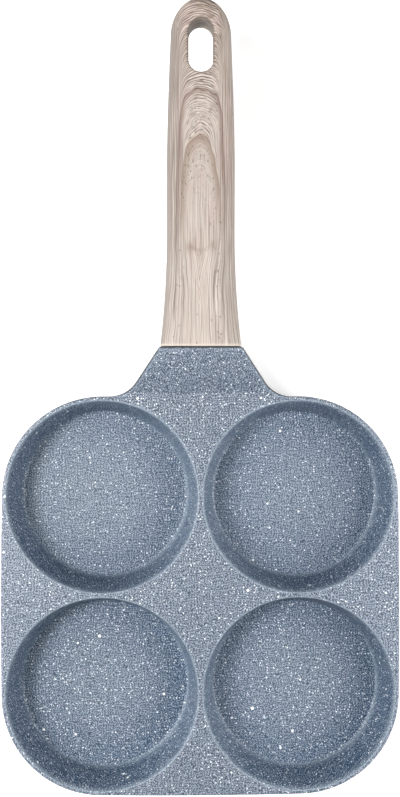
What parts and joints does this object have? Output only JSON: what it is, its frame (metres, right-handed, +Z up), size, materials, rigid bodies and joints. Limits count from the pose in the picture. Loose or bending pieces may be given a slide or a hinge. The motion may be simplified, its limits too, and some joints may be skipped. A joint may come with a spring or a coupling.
{
  "type": "pancake pan",
  "caption": "Square cast frying pan with round drafted cups for small pancakes or eggs, a short rising neck and a long wood-grain grip with a hang hole.",
  "frame": {"origin": "on the hob plane, below the middle of the whole pan's outline in plan", "axes": "+X across the pan, +Y from the cups towards the handle's tip, +Z up out of the cups"},
  "size_m": [0.1954, 0.3834, 0.0455],
  "materials": {
    "stone_coating": "blue-grey stone-speckled non-stick coating over cast aluminium",
    "wood_print": "pale wood-grain print on moulded phenolic plastic",
    "zinc_steel": "zinc-plated steel",
    "stainless_steel": "brushed stainless steel"
  },
  "bodies": {
    "root": {"pan_body": "stone_coating", "handle_grip": "wood_print", "handle_screw": "zinc_steel", "flat_washer": "zinc_steel", "spring_washer": "zinc_steel", "induction_disc_1": "stainless_steel", "induction_disc_2": "stainless_steel", "induction_disc_3": "stainless_steel", "induction_disc_4": "stainless_steel"}
  },
  "joints": []
}
